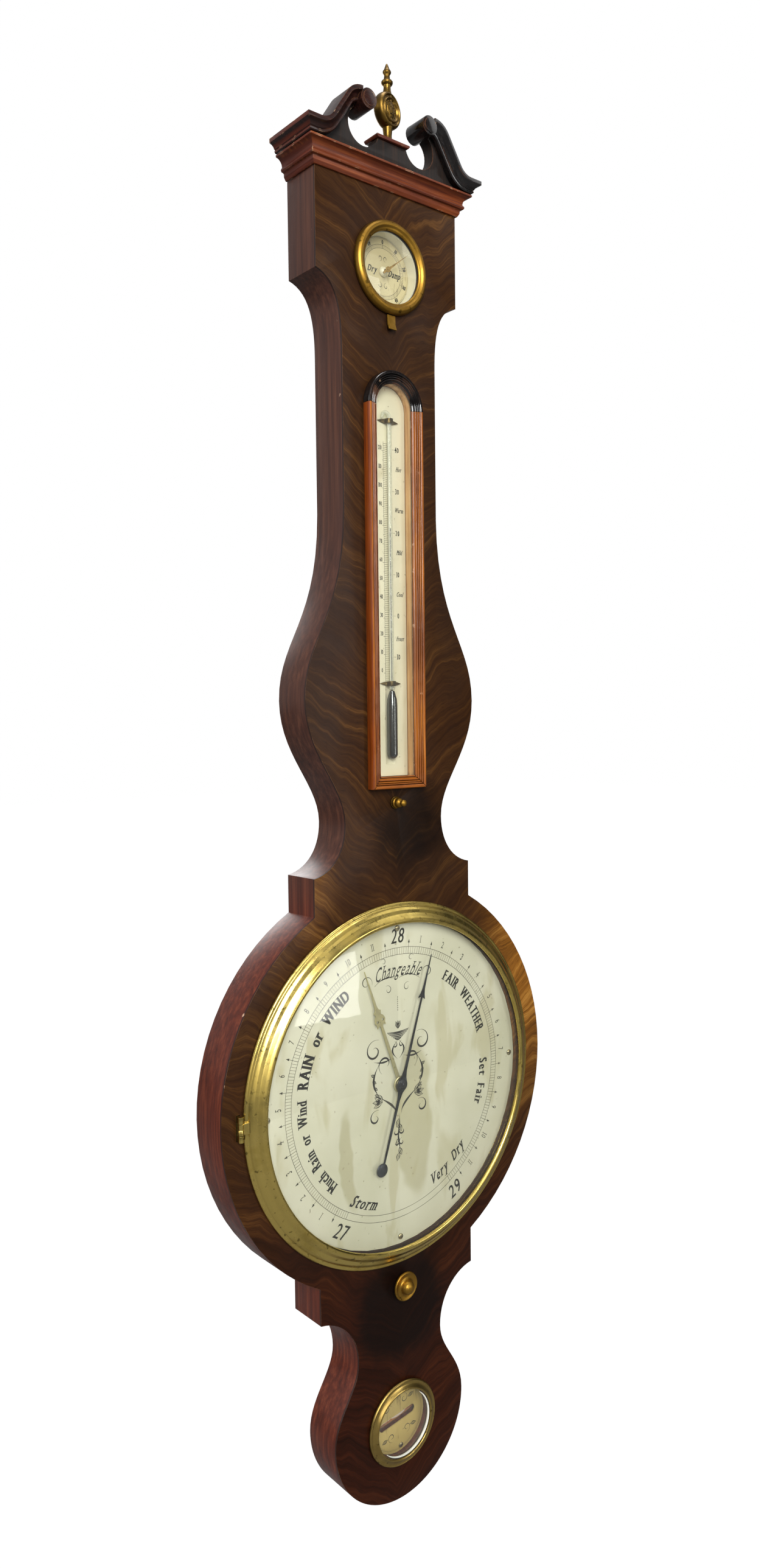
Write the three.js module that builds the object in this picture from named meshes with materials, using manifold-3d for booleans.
// A wall-hung wheel barometer: banjo-shaped mahogany case, broken swan-neck pediment, hygrometer,
// boxed thermometer, large dial worked by a siphon tube, and a spirit level at the foot.
// Millimetres. X runs right across the front, Y runs into the wall and Z runs up.
// Everything is drawn about the centre of the main dial, on the front face of the case. The last
// step moves it so that the origin is a point on the wall face: see WALL_POINT_Z.
import * as THREE from 'three';
import { mergeVertices } from 'three/addons/utils/BufferGeometryUtils.js';
import Module from 'manifold-3d';

const wasm = await Module();
wasm.setup();

// ---- driving dimensions ----
const GAP = 0.3; // left between pieces that rest on each other
const CASE_DEPTH = 34;
const WALL_POINT_Z = 100; // the origin lies on the back, on the centre line, this far above the dial
const BODY_R = 160; // round part of the case, behind the dial
const BLOCK_HALF = 77.5; // square blocks above and below the round part
const BLOCK_Z = 168.5;
const WAIST_HALF = 48;
const WAIST_Z = 207;
const BULGE_HALF = 83;
const BULGE_Z = 299;
const TRUNK_HALF = 45.3;
const TRUNK_LOW = 440;
const TRUNK_HIGH = 555;
const HEAD_HALF = 68; // square head that carries the pediment
const HEAD_LOW = 607.5;
const CORNICE_LOW = 678;
const CORNICE_HIGH = 694.3;
const NECK_HALF = 42.2;
const NECK_Z = -211;
const TAIL_R = 65.5;
const TAIL_Z = -272;

const DIAL_R = 128.5;
const DIAL_SCREW_R = 122.7;
const BEZEL_R = 143;
const HINGE_X = -146.2;
const HINGE_Y = -3.4;
const HAND_ANGLE = 18; // degrees clockwise from the top
const SET_HAND_ANGLE = -20;

const HYGRO_Z = 622;
const HYGRO_R = 34;
const HYGRO_POINTER_ANGLE = 52;

const BOX_HALF = 26.5; // thermometer box
const BOX_LOW = 231.5;
const BOX_SPRING = 519; // where the arch starts
const FRAME_WIDE = 9.5;
const TRAY_HALF = 24;
const TRAY_BACK = 8.2;
const BOX_KNOB_Z = 220.5;

const LEVEL_Z = -275;
const LEVEL_R = 34;
const LEVEL_TILT = 8; // the level sits turned in its seat

const SET_Z = -161; // set knob and the lower cord wheel
const CORD_Y = 17;
const CORD_R = 8.3;
const CORD_THICK = 0.6;

const THREAD_R = 5.17; // half of two French inches of mercury over 300 degrees of dial
const MOVEMENT_Y = 23; // plane of the threads, the float and the siphon tube
const LONG_ARM_X = 28;
const BEND_Z = -132;
const FLOAT_LOW = -101; // underside of the float when the hand points straight up
const FLOAT_DROP = 12.4; // a little more than the float falls when the hand is at its highest reading
const MERCURY_LOW = FLOAT_LOW - FLOAT_DROP;
const MERCURY_HIGH = FLOAT_LOW + 761;
const CHAMBER_HALF = 44;
const CHAMBER_LOW = -174;
const CHAMBER_HIGH = 62;
const CHAMBER_FRONT = 12;
const DOOR_HALF = 48.7;
const DOOR_LOW = -178.7;
const DOOR_HIGH = 66.7;
const DOOR_FRONT = 31.1;
const BACK_FACE = 33.9; // outer face of the flush doors and plates
const DOOR_AXIS_X = -47.3;
const DOOR_AXIS_Y = 32.5;

const SCROLL_X = 29.3; // scroll rolls of the pediment
const SCROLL_Z = 729.7;
const SCROLL_R = 7;
const OPENING_X = 27; // round openings beside the plinth
const OPENING_Z = 715;
const OPENING_R = 14;
const CAP_LOW = 711;
const FINIAL_LOW = 713.6;
const MEDALLION_Z = 736.3;

const OUTLINE_STEPS = 14; // steps along each curve of the case
const FINE = 48; // steps round a large ring
const ROUND = 32;
const MID = 20;
const SMALL = 10;

// ---- materials ----
const look = (color, roughness, metalness = 0) =>
  new THREE.MeshStandardMaterial({ color, roughness, metalness });
const mahogany = look(0x5a3426, 0.42);
const corniceWood = look(0x8a4420, 0.4);
const ebonised = look(0x1c1512, 0.3);
const boxWood = look(0xa0602a, 0.4);
const deal = look(0xb08a5c, 0.75);
const agedBrass = look(0x7d6a3c, 0.45, 1);
const bezelBrass = look(0xb39a45, 0.28, 1);
const silvered = look(0xc9cab2, 0.5, 0.3);
const steel = look(0x3b3c42, 0.35, 1);
const mercurySilver = look(0xa9adb2, 0.12, 1);
const glass = look(0xe6efec, 0.05);
glass.transparent = true;
glass.opacity = 0.35;
const gut = look(0x8c7a55, 0.8);
const straw = look(0x9a7d3f, 0.7);

// ---- solids ----
// Merges shared corners and drops triangles that have no area.
function weld(geometry) {
  const bare = new THREE.BufferGeometry();
  bare.setAttribute('position', geometry.getAttribute('position').clone());
  if (geometry.index) bare.setIndex(geometry.index.clone());
  const merged = mergeVertices(bare, 1e-4);
  const index = merged.index.array;
  const kept = [];
  for (let i = 0; i < index.length; i += 3) {
    const [a, b, c] = [index[i], index[i + 1], index[i + 2]];
    if (a !== b && b !== c && a !== c) kept.push(a, b, c);
  }
  merged.setIndex(kept);
  return merged;
}

function signedVolume(geometry) {
  const position = geometry.getAttribute('position');
  const index = geometry.index.array;
  const [a, b, c] = [new THREE.Vector3(), new THREE.Vector3(), new THREE.Vector3()];
  let sum = 0;
  for (let i = 0; i < index.length; i += 3) {
    a.fromBufferAttribute(position, index[i]);
    b.fromBufferAttribute(position, index[i + 1]);
    c.fromBufferAttribute(position, index[i + 2]);
    sum += a.dot(b.cross(c));
  }
  return sum / 6;
}

// A welded copy whose faces point out.
function closed(geometry) {
  const welded = weld(geometry);
  if (signedVolume(welded) < 0) welded.setIndex([...welded.index.array].reverse());
  return welded;
}

function solid(geometry) {
  const shell = closed(geometry);
  const mesh = new wasm.Mesh({
    numProp: 3,
    vertProperties: new Float32Array(shell.getAttribute('position').array),
    triVerts: new Uint32Array(shell.index.array),
  });
  return new wasm.Manifold(mesh);
}

function surface(manifold) {
  const mesh = manifold.getMesh();
  const geometry = new THREE.BufferGeometry();
  geometry.setAttribute('position', new THREE.BufferAttribute(mesh.vertProperties, 3));
  geometry.setIndex(new THREE.BufferAttribute(mesh.triVerts, 1));
  return geometry;
}

const join = (first, ...rest) =>
  surface(rest.reduce((sum, next) => sum.add(solid(next)), solid(first)));
const cut = (first, ...tools) =>
  surface(tools.reduce((left, tool) => left.subtract(solid(tool)), solid(first)));
const overlap = (first, second) => surface(solid(first).intersect(solid(second)));

// ---- basic forms ----
// A flat shape drawn in X and Z, thick from yFront to yBack.
function slab(shape, yFront, yBack, curveSegments = 12) {
  const depth = yBack - yFront;
  const geometry = new THREE.ExtrudeGeometry(shape, { depth, bevelEnabled: false, curveSegments });
  return closed(geometry.rotateX(Math.PI / 2).translate(0, yBack, 0));
}

// A profile of [radius, y] points turned about the Y axis.
const turned = (profile, steps = MID) =>
  closed(new THREE.LatheGeometry(profile.map(([r, y]) => new THREE.Vector2(r, y)), steps));

// The same, closed on itself, for a ring.
const ring = (profile, steps = MID) => turned([...profile, profile[0]], steps);

const rod = (r, yFront, yBack, x = 0, z = 0, steps = SMALL) =>
  closed(new THREE.CylinderGeometry(r, r, yBack - yFront, steps)
    .translate(x, (yFront + yBack) / 2, z));

const post = (r, zLow, zHigh, x = 0, y = 0, steps = SMALL) =>
  closed(new THREE.CylinderGeometry(r, r, zHigh - zLow, steps)
    .rotateX(Math.PI / 2).translate(x, y, (zLow + zHigh) / 2));

const block = (x0, x1, y0, y1, z0, z1) =>
  closed(new THREE.BoxGeometry(x1 - x0, y1 - y0, z1 - z0)
    .translate((x0 + x1) / 2, (y0 + y1) / 2, (z0 + z1) / 2));

// The skin between neighbouring stations of a profile. Each station turns an [out, up] point into
// a place in space, so a mitre is one slanted station.
function skin(count, stationCount, isLoop) {
  const faces = [];
  for (let s = 0; s < (isLoop ? stationCount : stationCount - 1); s += 1) {
    const next = (s + 1) % stationCount;
    for (let i = 0; i < count; i += 1) {
      const j = (i + 1) % count;
      const [a, b, c, d] = [s * count + i, s * count + j, next * count + j, next * count + i];
      faces.push(a, b, c, a, c, d);
    }
  }
  return faces;
}

function carried(profile, stations, faces) {
  const places = stations.flatMap((station) => profile.map(([out, up]) => station(out, up)));
  const geometry = new THREE.BufferGeometry();
  geometry.setAttribute('position', new THREE.Float32BufferAttribute(places.flat(), 3));
  geometry.setIndex(faces);
  return closed(geometry);
}

// A length of moulding with flat ends.
function moulding(profile, stations) {
  const outline = profile.map(([out, up]) => new THREE.Vector2(out, up));
  if (THREE.ShapeUtils.area(outline) < 0) return moulding([...profile].reverse(), stations);
  const faces = skin(profile.length, stations.length, false);
  const last = (stations.length - 1) * profile.length;
  for (const [a, b, c] of THREE.ShapeUtils.triangulateShape(outline, [])) {
    faces.push(c, b, a, last + a, last + b, last + c);
  }
  return carried(profile, stations, faces);
}

// The same, but the last station joins the first.
const loop = (profile, stations) =>
  carried(profile, stations, skin(profile.length, stations.length, true));

const degrees = (angle) => (angle * Math.PI) / 180;

// A place on a circle, the angle counted clockwise from the top.
const clock = (r, angle) => [r * Math.sin(degrees(angle)), r * Math.cos(degrees(angle))];

function polygon(points) {
  return new THREE.Shape(points.map(([x, z]) => new THREE.Vector2(x, z)));
}

const mirrored = (points) =>
  [...points, ...points.filter(([x]) => x > 1e-6).reverse().map(([x, z]) => [-x, z])];

// ---- case ----
function caseHalf() {
  const blockAngle = Math.acos(BLOCK_HALF / BODY_R);
  const blockFoot = BODY_R * Math.sin(blockAngle);
  const edge = new THREE.Path();
  edge.moveTo(0, TAIL_Z - TAIL_R);
  edge.absarc(0, TAIL_Z, TAIL_R, -Math.PI / 2, 0, false);
  edge.bezierCurveTo(TAIL_R, TAIL_Z + 26, NECK_HALF, NECK_Z - 21, NECK_HALF, NECK_Z);
  edge.bezierCurveTo(
    NECK_HALF, NECK_Z + 23, BLOCK_HALF - 19.5, -BLOCK_Z - 2.5, BLOCK_HALF, -BLOCK_Z);
  edge.lineTo(BLOCK_HALF, -blockFoot);
  edge.absarc(0, 0, BODY_R, -blockAngle, blockAngle, false);
  edge.lineTo(BLOCK_HALF, BLOCK_Z);
  edge.bezierCurveTo(
    BLOCK_HALF - 17.5, BLOCK_Z + 3, WAIST_HALF, WAIST_Z - 21, WAIST_HALF, WAIST_Z);
  edge.bezierCurveTo(WAIST_HALF, WAIST_Z + 29, BULGE_HALF, BULGE_Z - 41, BULGE_HALF, BULGE_Z);
  edge.bezierCurveTo(
    BULGE_HALF, BULGE_Z + 46, TRUNK_HALF + 1, TRUNK_LOW - 82, TRUNK_HALF, TRUNK_LOW);
  edge.lineTo(TRUNK_HALF, TRUNK_HIGH);
  edge.bezierCurveTo(
    TRUNK_HALF, TRUNK_HIGH + 30, HEAD_HALF - 18, HEAD_LOW - 4.5, HEAD_HALF, HEAD_LOW);
  edge.lineTo(HEAD_HALF, CORNICE_HIGH);
  edge.lineTo(0, CORNICE_HIGH);
  return edge.getPoints(OUTLINE_STEPS).map((p) => [p.x, p.y]);
}

// A round-topped upright shape.
function archShape(half, low, spring) {
  const shape = new THREE.Shape();
  shape.moveTo(-half, low);
  shape.lineTo(half, low);
  shape.lineTo(half, spring);
  shape.absarc(0, spring, half, 0, Math.PI, false);
  shape.closePath();
  return shape;
}

function caseBody() {
  const outline = polygon(mirrored(caseHalf()));
  const arch = archShape(TRAY_HALF + GAP, BOX_LOW + 2, BOX_SPRING);
  const front = -1;
  const back = CASE_DEPTH + 1;
  const screwHoles = [0, 90, 180, 270].map((angle) => {
    const [x, z] = clock(DIAL_SCREW_R, angle);
    return rod(1.3, front, 9, x, z);
  });
  const levelPocket = block(-24, 24, 6, 15.2, -5.2, 5.2)
    .rotateY(-degrees(LEVEL_TILT)).translate(0, 0, LEVEL_Z);
  return cut(
    slab(outline, 0, CASE_DEPTH),
    rod(DIAL_R + 1, front, 1.2, 0, 0, FINE),
    rod(3.5, front, CHAMBER_FRONT + 1),
    rod(2.3, front, CHAMBER_FRONT + 1, 0, SET_Z),
    ...screwHoles,
    rod(27.3, front, 14.5, 0, HYGRO_Z, ROUND),
    rod(1.1, front, 15.6, 0, HYGRO_Z),
    slab(arch, front, TRAY_BACK + 0.4, 10),
    rod(2.1, front, 9.5, 0, BOX_KNOB_Z),
    rod(28.2, front, 6.9, 0, LEVEL_Z, ROUND),
    levelPocket,
    block(HINGE_X - 1.8, HINGE_X + 1.8, front, 8.4, -9.4, 9.4),
    block(-CHAMBER_HALF, CHAMBER_HALF, CHAMBER_FRONT, back, CHAMBER_LOW, CHAMBER_HIGH),
    block(LONG_ARM_X - 7.5, LONG_ARM_X + 7.5, 16, back, CHAMBER_HIGH - 1, 688),
    block(17, 39, 31, back, DOOR_HIGH, 690),
    block(-DOOR_HALF - 0.4, DOOR_HALF + 0.4, 30.8, back, DOOR_LOW - 0.4, DOOR_HIGH + 0.4),
    post(1.0, DOOR_HIGH, DOOR_HIGH + 5.5, DOOR_AXIS_X, DOOR_AXIS_Y),
    post(1.0, DOOR_LOW - 5.5, DOOR_LOW, DOOR_AXIS_X, DOOR_AXIS_Y),
    block(-14.4, 14.4, 31.8, back, 629.6, 672.4),
    block(-8, 8, 22, back, 634, 662),
    rod(1.3, 24.5, back, -11, 667),
    rod(1.3, 24.5, back, 11, 667),
  );
}

// ---- pediment ----
const CORNICE_PROFILE = [ // [out from the head, height above the cornice foot]
  [GAP, 0], [1.4, 0.2], [2.8, 2.6], [2.9, 4.8], [3.4, 5.3], [4.9, 5.6], [5.5, 6.6], [5.3, 7.8],
  [4.5, 8.6], [4.4, 9.4], [4.8, 11.2], [5.8, 12.9], [7.2, 14.1], [8.6, 14.6], [9.7, 14.8],
  [9.7, 16.3], [GAP, 16.3],
];

function corniceMoulding() {
  return moulding(CORNICE_PROFILE, [
    (out, up) => [HEAD_HALF + out, CASE_DEPTH, CORNICE_LOW + up],
    (out, up) => [HEAD_HALF + out, -out, CORNICE_LOW + up],
    (out, up) => [-HEAD_HALF - out, -out, CORNICE_LOW + up],
    (out, up) => [-HEAD_HALF - out, CASE_DEPTH, CORNICE_LOW + up],
  ]);
}

const SWAN_FOOT = CORNICE_HIGH + 2 * GAP;
const SWAN_PROFILE = [ // [out, height across the band]; the top slab reaches back over the board
  [5.3, 0], [9.5, 0.2], [10.5, 0.8], [10.7, 1.8], [10.2, 2.6], [10.9, 3.0], [11.6, 4.4],
  [12.9, 5.5], [14.2, 6.0], [15, 6.4], [15, 9.3], [-5, 9.3], [-5, 5.3], [5.3, 5.3],
];
const SWEEP = { x: 72, r: 22, end: 57 }; // hollow bend that lifts the neck
const CROWN = { x: 34.5, z: 720, r: 7.4 }; // bend that turns it over into the scroll

// Places along the underside of the swan neck, each with its outward normal, from the corner in.
function swanLine() {
  const line = [];
  const sweepZ = SWAN_FOOT + SWEEP.r;
  for (let i = 0; i <= 6; i += 1) {
    const a = degrees((SWEEP.end * i) / 6);
    line.push([SWEEP.x - SWEEP.r * Math.sin(a), sweepZ - SWEEP.r * Math.cos(a),
      Math.sin(a), Math.cos(a)]);
  }
  for (let i = 0; i <= 6; i += 1) {
    const a = degrees(90 - SWEEP.end + (SWEEP.end * i) / 6);
    line.push([CROWN.x + CROWN.r * Math.cos(a), CROWN.z + CROWN.r * Math.sin(a),
      Math.cos(a), Math.sin(a)]);
  }
  return line;
}

function swanNeck(side) {
  // The return along the side stays outside the start of the sweep, so the top doesn't fold back.
  const returnX = (out) => side * Math.max(HEAD_HALF + out, SWEEP.x + GAP);
  const stations = [
    (out, up) => [returnX(out), CASE_DEPTH, SWAN_FOOT + up],
    (out, up) => [returnX(out), -out, SWAN_FOOT + up],
    ...swanLine().map(([x, z, nx, nz]) =>
      (out, up) => [side * (x + nx * up), -out, z + nz * up]),
  ];
  return join(
    moulding(SWAN_PROFILE, stations),
    rod(SCROLL_R, -15, 5, side * SCROLL_X, SCROLL_Z, MID),
    rod(SCROLL_R - 1.6, -15.8, -14, side * SCROLL_X, SCROLL_Z, MID),
  );
}

function tympanumBoard() {
  const under = 5; // the board stops just below the slab of the swan neck
  const half = [
    [0, SWAN_FOOT], [HEAD_HALF + 5, SWAN_FOOT], [HEAD_HALF + 5, SWAN_FOOT + under],
    ...swanLine().map(([x, z, nx, nz]) => [x + nx * under, z + nz * under]),
    [OPENING_X, OPENING_Z + 10], [0, OPENING_Z + 10],
  ];
  const sides = [-1, 1].map((side) => {
    const inner = side * (HEAD_HALF - 5);
    const outer = side * (HEAD_HALF + 5);
    return block(Math.min(inner, outer), Math.max(inner, outer), 4, CASE_DEPTH, SWAN_FOOT,
      SWAN_FOOT + under);
  });
  const openings = [-1, 1].flatMap((side) => [
    rod(OPENING_R, -6, 6, side * OPENING_X, OPENING_Z, 36),
    rod(SCROLL_R + GAP, -6, 6, side * SCROLL_X, SCROLL_Z, MID),
  ]);
  const aboveCap = block(-OPENING_X - 1, OPENING_X + 1, -6, 6, CAP_LOW - GAP, OPENING_Z + 20);
  return cut(join(slab(polygon(mirrored(half)), -5, 5), ...sides), ...openings, aboveCap);
}

function plinthCap() {
  const profile = [[0, 0], [14.6, 0], [15.2, 0.6], [15.8, 1.2], [15.8, 2.3], [0, 2.3]];
  const shape = polygon(mirrored(profile).map(([x, z]) => [x, z + CAP_LOW]));
  return slab(shape, -7.3, 8.6);
}

// Turned spindle with the medallion across it. Drawn along Y, then stood up along Z.
function finial() {
  const rise = MEDALLION_Z - FINIAL_LOW;
  const spindle = turned([
    [0, 0], [4.7, 0], [4.7, 1.2], [3.4, 2.2], [3.3, 6], [3.9, 10], [3.9, 33], [2.8, 38],
    [2.9, 41], [4.3, 42.3], [4.2, 44], [2.5, 45.6], [2.1, 48], [3.2, 50.4], [2.7, 52], [1.2, 54.8],
    [0, 57.1],
  ], 14).rotateX(Math.PI / 2);
  const medallion = turned([
    [0, -4.6], [4.8, -4.3], [6.6, -3.3], [10.6, -3.8], [13, -2.2], [13, 2.2], [10.6, 3.8],
    [6.6, 3.3], [4.8, 4.3], [0, 4.6],
  ], 26).rotateZ(degrees(14)).translate(0, 0, rise);
  return join(spindle, medallion);
}

// ---- back of the case ----
function chamberDoor() {
  const r = (BACK_FACE - DOOR_FRONT) / 2;
  const board = join(
    block(DOOR_AXIS_X, DOOR_HALF, DOOR_FRONT, BACK_FACE, DOOR_LOW, DOOR_HIGH),
    post(r, DOOR_LOW, DOOR_HIGH, DOOR_AXIS_X, DOOR_AXIS_Y, 24),
  );
  return cut(
    board,
    rod(8, DOOR_FRONT - 1, BACK_FACE + 1, DOOR_HALF + 2, (DOOR_LOW + DOOR_HIGH) / 2, MID),
    post(0.9, DOOR_HIGH - 5.5, DOOR_HIGH + 1, DOOR_AXIS_X, DOOR_AXIS_Y),
    post(0.9, DOOR_LOW - 1, DOOR_LOW + 5.5, DOOR_AXIS_X, DOOR_AXIS_Y),
  );
}

function hangingPlate() {
  const keyhole = new THREE.Path();
  keyhole.absarc(0, 643, 5, -1.2 * Math.PI, 0.2 * Math.PI, false);
  keyhole.lineTo(2.4, 648.5);
  keyhole.lineTo(2.4, 656);
  keyhole.absarc(0, 656, 2.4, 0, Math.PI, false);
  keyhole.lineTo(-2.4, 648.5);
  const shape = polygon([[-14, 630], [14, 630], [14, 672], [-14, 672]]);
  shape.holes.push(keyhole);
  return cut(
    slab(shape, 32.1, BACK_FACE, 8),
    rod(2.7, 31, 35, -11, 667),
    rod(2.7, 31, 35, 11, 667),
  );
}

const screw = (headR, headFront, headBack, shankR, shankBack) => turned([
  [0, headFront], [headR * 0.7, headFront + 0.1], [headR, headFront + 0.5], [headR, headBack],
  [shankR, headBack], [shankR, shankBack - 1], [0, shankBack],
], SMALL);

const hangingScrew = () => turned([
  [0, 33.7], [2.3, 33.7], [2.3, 32.9], [1.0, 32.0], [1.0, 26], [0, 25],
], SMALL);

// ---- hygrometer, drawn about its own centre ----
const hygroBezel = () => ring([
  [34, -0.4], [34.1, -2.4], [33.2, -4.6], [31.4, -6.0], [29.5, -6.1], [28.1, -4.8],
  [26.9, -4.4], [26.1, -3.6], [26.1, -3.0], [28.2, -3.0], [28.2, -0.4],
], ROUND);

const hygroGlass = () => turned([[0, -2.7], [27.9, -2.7], [27.9, -1.2], [0, -1.2]], ROUND);

const hygroCup = () => ring([
  [1.7, 13.8], [26.8, 13.8], [26.8, -0.6], [25.7, -0.6], [25.7, 12.6], [1.7, 12.6],
], ROUND);

const hygroDial = () => ring([[1.7, 7.4], [25.3, 7.4], [25.3, 8.4], [1.7, 8.4]], ROUND);

const hygroBoss = () => ring([
  [1.1, 3.9], [2.2, 4.3], [3.3, 5.4], [3.7, 6.4], [3.7, 7.1], [1.1, 7.1],
], 16);

const hygroAwn = () => rod(0.8, 0.2, 15.2, 0, 0, 10);

function hygroPointer() {
  const outline = polygon([[-0.7, -6], [0.7, -6], [0.6, 1], [0.2, 24], [-0.2, 24], [-0.6, 1]]);
  return cut(join(slab(outline, 0.6, 1.3), rod(1.8, 0.6, 1.3)), rod(1.05, 0, 2));
}

function hygroTab() {
  const side = [[-34.6, -1.0], [-34.6, -2.4], [-41, -2.6], [-45.5, -4.2], [-45.5, -2.9], [-41, -1.2]];
  return moulding(side, [
    (z, y) => [-3.8, y, z],
    (z, y) => [3.8, y, z],
  ]);
}

// ---- thermometer box ----
const FRAME_PROFILE = [ // [in from the outer edge, height above the case front]
  [0, 0.4], [0, 7.0], [0.6, 7.5], [2.1, 7.5], [2.9, 6.3], [3.4, 6.9], [4.7, 6.8], [5.7, 5.5],
  [6.2, 6.0], [7.4, 5.9], [8.5, 4.9], [9.5, 4.9], [9.5, 4.4], [7.0, 4.4], [7.0, 0.4],
];

const boxSide = (side) => moulding(FRAME_PROFILE, [
  (inward, up) => [side * (BOX_HALF - inward), -up, BOX_LOW + inward + GAP],
  (inward, up) => [side * (BOX_HALF - inward), -up, BOX_SPRING - GAP / 2],
]);

const boxRail = () => moulding(FRAME_PROFILE, [
  (inward, up) => [-(BOX_HALF - inward - GAP), -up, BOX_LOW + inward],
  (inward, up) => [BOX_HALF - inward - GAP, -up, BOX_LOW + inward],
]);

function boxArch() {
  const steps = 18;
  const lift = GAP / 2;
  const stations = Array.from({ length: steps + 1 }, (_, i) => (inward, up) => {
    const a = (Math.PI * i) / steps;
    const r = BOX_HALF - inward;
    return [r * Math.cos(a), -up, BOX_SPRING + lift + r * Math.sin(a)];
  });
  return moulding(FRAME_PROFILE, stations);
}

function boxCarcass() {
  const low = BOX_LOW + 2.3;
  const tray = slab(archShape(TRAY_HALF, low, BOX_SPRING), -0.1, TRAY_BACK, 10);
  const lip = slab(archShape(19.2, BOX_LOW + 7.3, BOX_SPRING), -2.6, 1, 10);
  const hollow = slab(archShape(17.5, BOX_LOW + 9, BOX_SPRING), -4, 6.3, 10);
  return cut(join(tray, lip), hollow);
}

const boxGlass = () => slab(archShape(19.1, BOX_LOW + 7.4, BOX_SPRING), -4.1, -2.9, 10);

const BULB_LOW = 254;
const BULB_HIGH = 307;
const STEM_Y = 2.1;

function scalePlate() {
  const plate = slab(archShape(17.1, BOX_LOW + 9.4, BOX_SPRING), 4.4, 5.4, 10);
  return cut(plate, block(-4.6, 4.6, 3, 7, BULB_LOW - 4, BULB_HIGH + 4));
}

class Crook extends THREE.Curve {
  getPoint(t, target = new THREE.Vector3()) {
    const a = degrees(200) * t;
    return target.set(-3.4 + 3.4 * Math.cos(a), STEM_Y, 513 + 3.4 * Math.sin(a));
  }
}

const circle = (r, steps) => polygon(Array.from({ length: steps }, (_, i) => {
  const a = (2 * Math.PI * i) / steps;
  return [r * Math.cos(a), r * Math.sin(a)];
}));

const along = (curve, r, steps, sides) =>
  closed(new THREE.ExtrudeGeometry(circle(r, sides), { steps, extrudePath: curve }));

const thermoStem = () => join(
  post(2, BULB_HIGH + 0.5, 513.05, 0, STEM_Y, 10),
  along(new Crook(), 2, 8, 10),
);

const thermoBulb = () => closed(new THREE.CapsuleGeometry(4, BULB_HIGH - BULB_LOW - 8, 3, 12)
  .rotateX(Math.PI / 2).translate(0, 1.9, (BULB_LOW + BULB_HIGH) / 2));

// A pointed band that arches over the stem, with its ends lying on the plate.
function strap(z) {
  const arch = [
    [-10.6, 4.1], [-10.6, 3.3], [-3.6, 3.3], [-2.6, 0.2], [-1.4, -0.8], [1.4, -0.8], [2.6, 0.2],
    [3.6, 3.3], [10.6, 3.3], [10.6, 4.1], [3.0, 4.1], [2.4, 2.6], [2.4, 1.0], [1.2, -0.2],
    [-1.2, -0.2], [-2.4, 1.0], [-2.4, 2.6], [-3.0, 4.1],
  ];
  const band = moulding(arch, [(x, y) => [x, y, z - 3], (x, y) => [x, y, z + 3]]);
  const lens = new THREE.Shape();
  lens.moveTo(-10.4, z);
  lens.quadraticCurveTo(0, z - 3.9, 10.4, z);
  lens.quadraticCurveTo(0, z + 3.9, -10.4, z);
  return overlap(band, slab(lens, -2, 5, 6));
}

const boxKnob = () => turned([
  [0, -12.4], [1.9, -12.0], [2.7, -10.9], [2.5, -9.7], [1.5, -8.7], [1.7, -7.9], [3.3, -6.6],
  [3.8, -5.0], [3.3, -3.6], [4.3, -2.9], [4.3, -1.8], [1.7, -1.8], [1.7, 9], [0, 9],
], 16);

const boxKnobRose = () => ring([[2.2, -0.3], [5, -0.3], [4.8, -1.2], [2.2, -1.5]], MID);

// ---- main dial ----
function dialPlate() {
  const holes = [0, 90, 180, 270].map((angle) => {
    const [x, z] = clock(DIAL_SCREW_R, angle);
    return rod(1.3, -2, 2, x, z);
  });
  return cut(rod(DIAL_R, -0.7, 0.9, 0, 0, FINE), rod(3.2, -2, 2), ...holes);
}

const dialScrew = () => screw(2.3, -2.2, -1.0, 1.0, 8.4);

function dialBezel() {
  const body = ring([
    [BEZEL_R, -0.4], [143.2, -1.8], [142.2, -3.0], [140.2, -2.8], [139.3, -4.2], [137.4, -5.8],
    [134.6, -7.0], [132.2, -9.3], [130.2, -10.6], [128.4, -10.5], [127.4, -9.5], [127.4, -8.0],
    [130.4, -8.0], [130.4, -5.4], [133.4, -0.4],
  ], FINE);
  const arm = block(HINGE_X, -139.6, HINGE_Y - 1.2, HINGE_Y + 1.2, -4.1, 4.1);
  const knuckle = post(2.1, -4.1, 4.1, HINGE_X, HINGE_Y);
  return cut(join(body, arm, knuckle), post(1.1, -5, 5, HINGE_X, HINGE_Y));
}

function bezelHingeLug() {
  const tang = block(HINGE_X - 1.4, HINGE_X + 1.4, HINGE_Y, 8, -9, 9);
  const knuckles = post(2.1, -9, 9, HINGE_X, HINGE_Y);
  const slot = block(HINGE_X - 3, HINGE_X + 3, HINGE_Y - 3, -0.7, -4.4, 4.4);
  return join(cut(join(tang, knuckles), slot), post(0.8, -8.5, 8.5, HINGE_X, HINGE_Y));
}

// Domed glass: one face is the other moved forward.
function dialGlass() {
  const dome = [[129.9, 0], [127.1, 0], [114, -3.5], [90, -6.4], [52, -9.0], [0, -10.2]];
  const front = dome.map(([r, y]) => [r, y - 7.6]).reverse();
  const back = dome.map(([r, y]) => [r, y - 5.8]);
  return turned([...front, ...back], FINE);
}

function indicatorHand() {
  const blade = slab(polygon(mirrored([
    [1.3, -62], [1.6, 0], [1.5, 6], [1.1, 66], [0.9, 72], [4.3, 69.5], [1.1, 78], [0.9, 84],
    [0.25, 103], [0, 103.4],
  ])), -5.4, -4.6);
  const hub = rod(4.8, -5.6, -4.4, 0, 0, MID);
  const tailDisc = rod(5.4, -5.5, -4.5, 0, -66.3, MID);
  return cut(join(blade, hub, tailDisc), rod(1.3, -7, -3));
}

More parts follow.
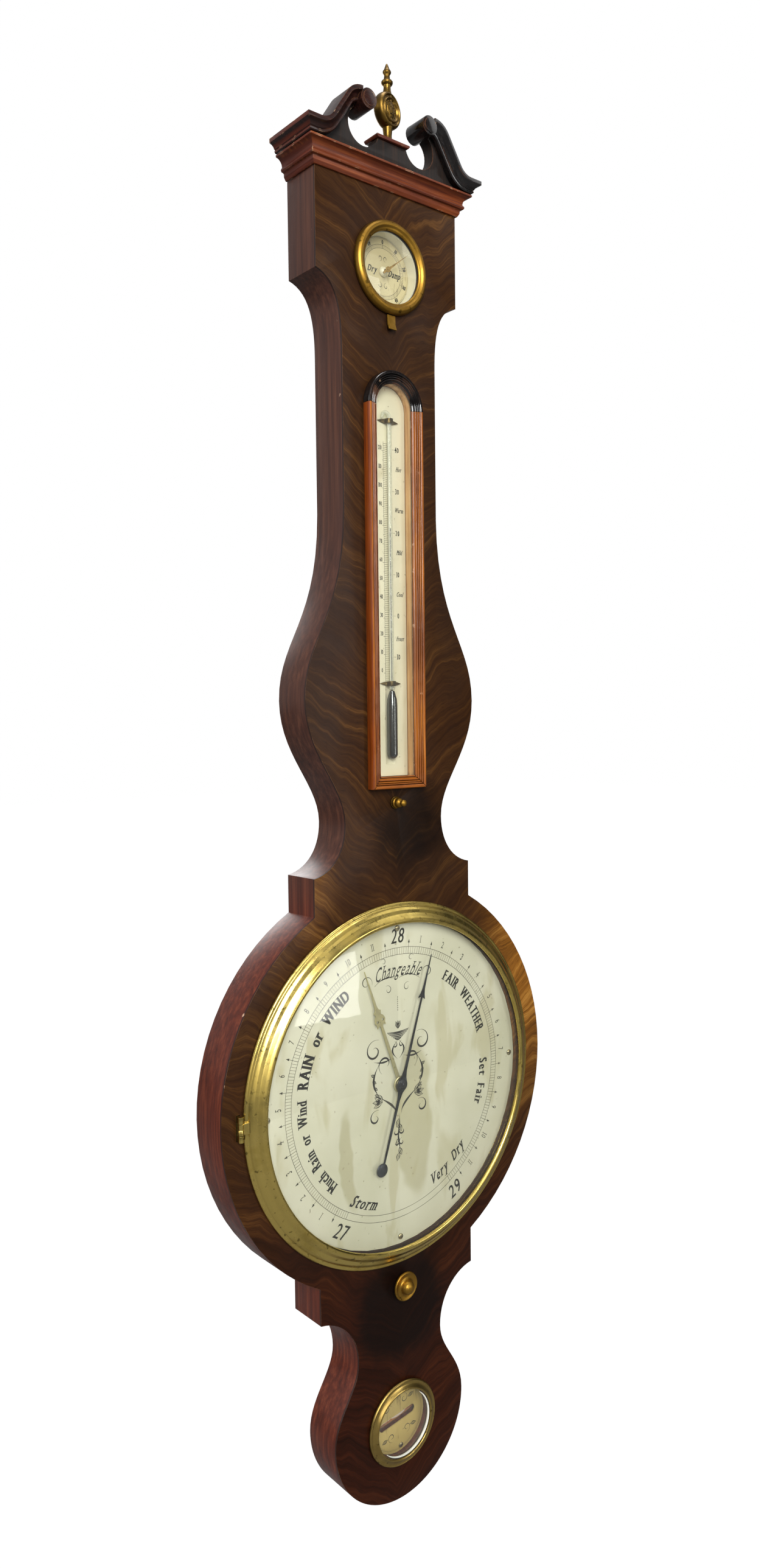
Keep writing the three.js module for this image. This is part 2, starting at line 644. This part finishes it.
const indicatorArbor = () => turned([
  [0, -6.9], [0.8, -6.9], [1.0, -6.5], [1.0, 29], [0, 29.4],
], SMALL);

const threadPulley = () => ring([
  [1.3, 21], [7, 21], [7, 21.7], [THREAD_R - 0.2, 22.6], [THREAD_R - 0.2, 23.4], [7, 24.3],
  [7, 25], [1.3, 25],
], 16);

function arborCock() {
  const arm = new THREE.Shape();
  arm.absarc(0, 0, 4.5, -Math.PI / 2, Math.PI / 2, false);
  arm.lineTo(-34, 6);
  arm.lineTo(-34, -6);
  const foot = block(-34, -24, CHAMBER_FRONT + GAP, 28.6, -6, 6);
  return cut(join(slab(arm, 26.6, 28.6), foot), rod(1.25, 25, 30));
}

function setHand() {
  const shape = new THREE.Shape();
  shape.moveTo(1.5, 0);
  shape.lineTo(1.2, 55);
  shape.bezierCurveTo(5.4, 56.5, 6.4, 61, 2.2, 67.5);
  shape.lineTo(0.8, 72);
  shape.lineTo(0.15, 100);
  shape.lineTo(-0.15, 100);
  shape.lineTo(-0.8, 72);
  shape.lineTo(-2.2, 67.5);
  shape.bezierCurveTo(-6.4, 61, -5.4, 56.5, -1.2, 55);
  shape.lineTo(-1.5, 0);
  const eye = new THREE.Path();
  eye.absellipse(0, 61.5, 1.9, 3.4, 0, 2 * Math.PI, false, 0);
  shape.holes.push(eye);
  return cut(
    join(slab(shape, -3.3, -2.5, 6), rod(6.4, -3.4, -2.3, 0, 0, 24)),
    rod(2.7, -5, -1),
  );
}

// The groove keeps clear of a cord that lies in it.
function wheelRim(coreR) {
  const root = CORD_R - CORD_THICK - GAP;
  return [
    [coreR, 15], [9.2, 15], [9.2, 15.8], [root, 16.3], [root, 17.7], [9.2, 18.2], [9.2, 19],
    [coreR, 19],
  ];
}

const setSleeve = () => ring([
  [1.35, -4.0], [2.4, -4.0], ...wheelRim(2.4), [2.4, 19.6], [1.35, 19.6],
], 16);

const setSpindle = () => turned([
  [0, -9.1], [1.7, -9.1], ...wheelRim(1.7), [1.7, 20.5], [0, 20.5],
], 16);

const setKnob = () => turned([
  [0, -14.1], [2.6, -13.6], [4.6, -12.2], [5.5, -10.2], [5.9, -8.0], [7.4, -7.2], [9.2, -7.5],
  [10.6, -8.2], [11.4, -7.5], [11.4, -6.3], [10.4, -5.3], [4.6, -4.3], [4.2, -0.9], [2.0, -0.9],
  [2.0, -9.5], [0, -9.5],
], MID);

// A closed loop of cord round both wheels.
function setCord() {
  const bend = (z, from) => new THREE.Shape().absarc(0, z, CORD_R, from, from + Math.PI, false);
  const places = [...bend(0, 0).getPoints(8), ...bend(SET_Z, Math.PI).getPoints(8)];
  const stations = places.map((p) => {
    const centreZ = p.y > SET_Z / 2 ? 0 : SET_Z;
    const [nx, nz] = [p.x / CORD_R, (p.y - centreZ) / CORD_R];
    return (out, up) => [p.x + nx * out, CORD_Y + up, p.y + nz * out];
  });
  const section = Array.from({ length: 6 }, (_, i) => {
    const a = (Math.PI * (i + 0.5)) / 3;
    return [CORD_THICK * Math.cos(a), CORD_THICK * Math.sin(a)];
  });
  return loop(section, stations);
}

// ---- siphon tube and what hangs over it ----
class TubeBend extends THREE.Curve {
  getPoint(t, target = new THREE.Vector3()) {
    const r = (LONG_ARM_X - THREAD_R) / 2;
    const a = Math.PI * (1 + t);
    return target.set(THREAD_R + r + r * Math.cos(a), MOVEMENT_Y, BEND_Z + r * Math.sin(a));
  }
}

const OVERRUN = 0.05; // lets joined lengths share a little volume
const TUBE_TOP = 684;
const HEAD_FOOT = 634;

const uTube = (r, shortTop, longTop, sides = 8) => [
  along(new TubeBend(), r, 9, sides),
  post(r, BEND_Z - OVERRUN, shortTop, THREAD_R, MOVEMENT_Y, sides),
  post(r, BEND_Z - OVERRUN, longTop, LONG_ARM_X, MOVEMENT_Y, sides),
];

const tubeHead = (r, low, high) => turned([
  [0, low], [r * 0.5, low], [r, low + 4], [r, high - 4], [r * 0.6, high - 1], [0, high],
], 14).rotateX(Math.PI / 2).translate(LONG_ARM_X, MOVEMENT_Y, 0);

function siphonTube() {
  const outer = join(...uTube(4.2, -62, 640), tubeHead(6.5, HEAD_FOOT, TUBE_TOP));
  const bore = join(...uTube(3.0, -55, 640), tubeHead(5.1, HEAD_FOOT + 2, TUBE_TOP - 2.5));
  return cut(outer, bore);
}

function mercury() {
  const column = turned([
    [0, HEAD_FOOT], [2.3, HEAD_FOOT + 2.5], [4.5, HEAD_FOOT + 8.5], [4.5, MERCURY_HIGH],
    [0, MERCURY_HIGH],
  ], 12).rotateX(Math.PI / 2).translate(LONG_ARM_X, MOVEMENT_Y, 0);
  return join(...uTube(2.5, MERCURY_LOW, HEAD_FOOT + 3), column);
}

// A weight with rounded ends, hung in the plane of the threads.
const weight = (r, low, high, x) => closed(
  new THREE.CapsuleGeometry(r, high - low - 2 * r, 3, 10)
    .rotateX(Math.PI / 2).translate(x, MOVEMENT_Y, (low + high) / 2));

// ---- spirit level, drawn about its own centre ----
const levelBezel = () => ring([
  [34, -0.4], [34.1, -1.8], [33.1, -2.9], [32.2, -2.5], [30.6, -2.9], [29.2, -4.0], [28.2, -4.9],
  [27.3, -4.9], [26.9, -4.2], [26.9, -3.2], [28.7, -3.2], [28.7, -0.4],
], ROUND);

const levelGlass = () => turned([
  [0, -6.6], [11, -6.2], [20, -5.0], [26.6, -3.0], [28.3, -2.7], [28.3, -1.5], [26.6, -1.7],
  [20, -3.5], [11, -4.7], [0, -5.1],
], ROUND);

function levelPlate() {
  const slot = new THREE.Shape();
  slot.absarc(-15, 0, 3.4, Math.PI / 2, 1.5 * Math.PI, false);
  slot.absarc(15, 0, 3.4, -Math.PI / 2, Math.PI / 2, false);
  return cut(rod(27.7, 5.4, 6.4, 0, 0, ROUND), slab(slot, 4, 8, 8), rod(1.2, 4, 8, 0, -23.6));
}

const levelVial = () => closed(new THREE.CapsuleGeometry(3.9, 38, 3, 12)
  .rotateZ(Math.PI / 2).translate(0, 10.8, 0));

// ---- the barometer ----
const barometer = new THREE.Group();

function part(name, geometry, material, home = barometer) {
  const mesh = new THREE.Mesh(geometry, material);
  mesh.name = name;
  home.add(mesh);
  return mesh;
}

function place(x, y, z, turnAboutY = 0) {
  const group = new THREE.Group();
  group.position.set(x, y, z);
  group.rotation.y = degrees(turnAboutY);
  barometer.add(group);
  return group;
}

part('case_body', caseBody(), mahogany);
part('cornice_moulding', corniceMoulding(), corniceWood);
part('tympanum_board', tympanumBoard(), ebonised);
part('swan_neck_left', swanNeck(-1), ebonised);
part('swan_neck_right', swanNeck(1), ebonised);
part('plinth_cap', plinthCap(), corniceWood);
part('finial', finial(), agedBrass, place(0, 0, FINIAL_LOW));

part('trunk_back_cover', block(17.4, 38.6, 31.3, BACK_FACE, DOOR_HIGH + 0.8, 689.6), deal);
part('chamber_door', chamberDoor(), deal);
part('door_pin_upper', post(0.7, DOOR_HIGH - 5, DOOR_HIGH + 5, DOOR_AXIS_X, DOOR_AXIS_Y), steel);
part('door_pin_lower', post(0.7, DOOR_LOW - 5, DOOR_LOW + 5, DOOR_AXIS_X, DOOR_AXIS_Y), steel);
part('hanging_plate', hangingPlate(), agedBrass);
part('hanging_screw_left', hangingScrew(), steel, place(-11, 0, 667));
part('hanging_screw_right', hangingScrew(), steel, place(11, 0, 667));

const hygrometer = place(0, 0, HYGRO_Z);
part('hygro_bezel', hygroBezel(), bezelBrass, hygrometer);
part('hygro_glass', hygroGlass(), glass, hygrometer);
part('hygro_cup', hygroCup(), agedBrass, hygrometer);
part('hygro_dial', hygroDial(), silvered, hygrometer);
part('hygro_tab', hygroTab(), bezelBrass, hygrometer);
part('hygro_boss', hygroBoss(), agedBrass, hygrometer);
part('hygro_awn', hygroAwn(), straw, hygrometer);
part('hygro_pointer', hygroPointer(), straw, place(0, 0, HYGRO_Z, HYGRO_POINTER_ANGLE));

part('thermo_carcass', boxCarcass(), boxWood);
part('thermo_side_left', boxSide(-1), boxWood);
part('thermo_side_right', boxSide(1), boxWood);
part('thermo_rail', boxRail(), boxWood);
part('thermo_arch', boxArch(), ebonised);
part('thermo_glass', boxGlass(), glass);
part('thermo_plate', scalePlate(), silvered);
part('thermo_stem', thermoStem(), glass);
part('thermo_bulb', thermoBulb(), mercurySilver);
part('thermo_strap_upper', strap(510), agedBrass);
part('thermo_strap_lower', strap(312), agedBrass);
part('box_knob', boxKnob(), bezelBrass, place(0, 0, BOX_KNOB_Z));
part('box_knob_rose', boxKnobRose(), agedBrass, place(0, 0, BOX_KNOB_Z));

part('dial_plate', dialPlate(), silvered);
for (const [name, angle] of [['top', 0], ['right', 90], ['bottom', 180], ['left', 270]]) {
  const [x, z] = clock(DIAL_SCREW_R, angle);
  part(`dial_screw_${name}`, dialScrew(), agedBrass, place(x, 0, z));
}
part('dial_bezel', dialBezel(), bezelBrass);
part('dial_glass', dialGlass(), glass);
part('bezel_hinge_lug', bezelHingeLug(), bezelBrass);

part('indicator_hand', indicatorHand(), steel, place(0, 0, 0, HAND_ANGLE));
part('indicator_arbor', indicatorArbor(), steel);
part('thread_pulley', threadPulley(), bezelBrass);
part('arbor_cock', arborCock(), bezelBrass);
part('set_hand', setHand(), bezelBrass, place(0, 0, 0, SET_HAND_ANGLE));
part('set_sleeve', setSleeve(), bezelBrass);
part('set_cord', setCord(), gut);
part('set_spindle', setSpindle(), bezelBrass, place(0, 0, SET_Z));
part('set_knob', setKnob(), bezelBrass, place(0, 0, SET_Z));

part('siphon_tube', siphonTube(), glass);
part('mercury', mercury(), mercurySilver);
part('float_weight', weight(2.3, FLOAT_LOW, FLOAT_LOW + 14, THREAD_R), glass);
part('counterweight', weight(2, -60, -48, -THREAD_R), glass);

const level = place(0, 0, LEVEL_Z);
part('level_bezel', levelBezel(), bezelBrass, level);
part('level_glass', levelGlass(), glass, level);
const levelInsert = place(0, 0, LEVEL_Z, -LEVEL_TILT);
part('level_plate', levelPlate(), agedBrass, levelInsert);
part('level_vial', levelVial(), glass, levelInsert);

barometer.position.set(0, -CASE_DEPTH, -WALL_POINT_Z);

export default barometer;
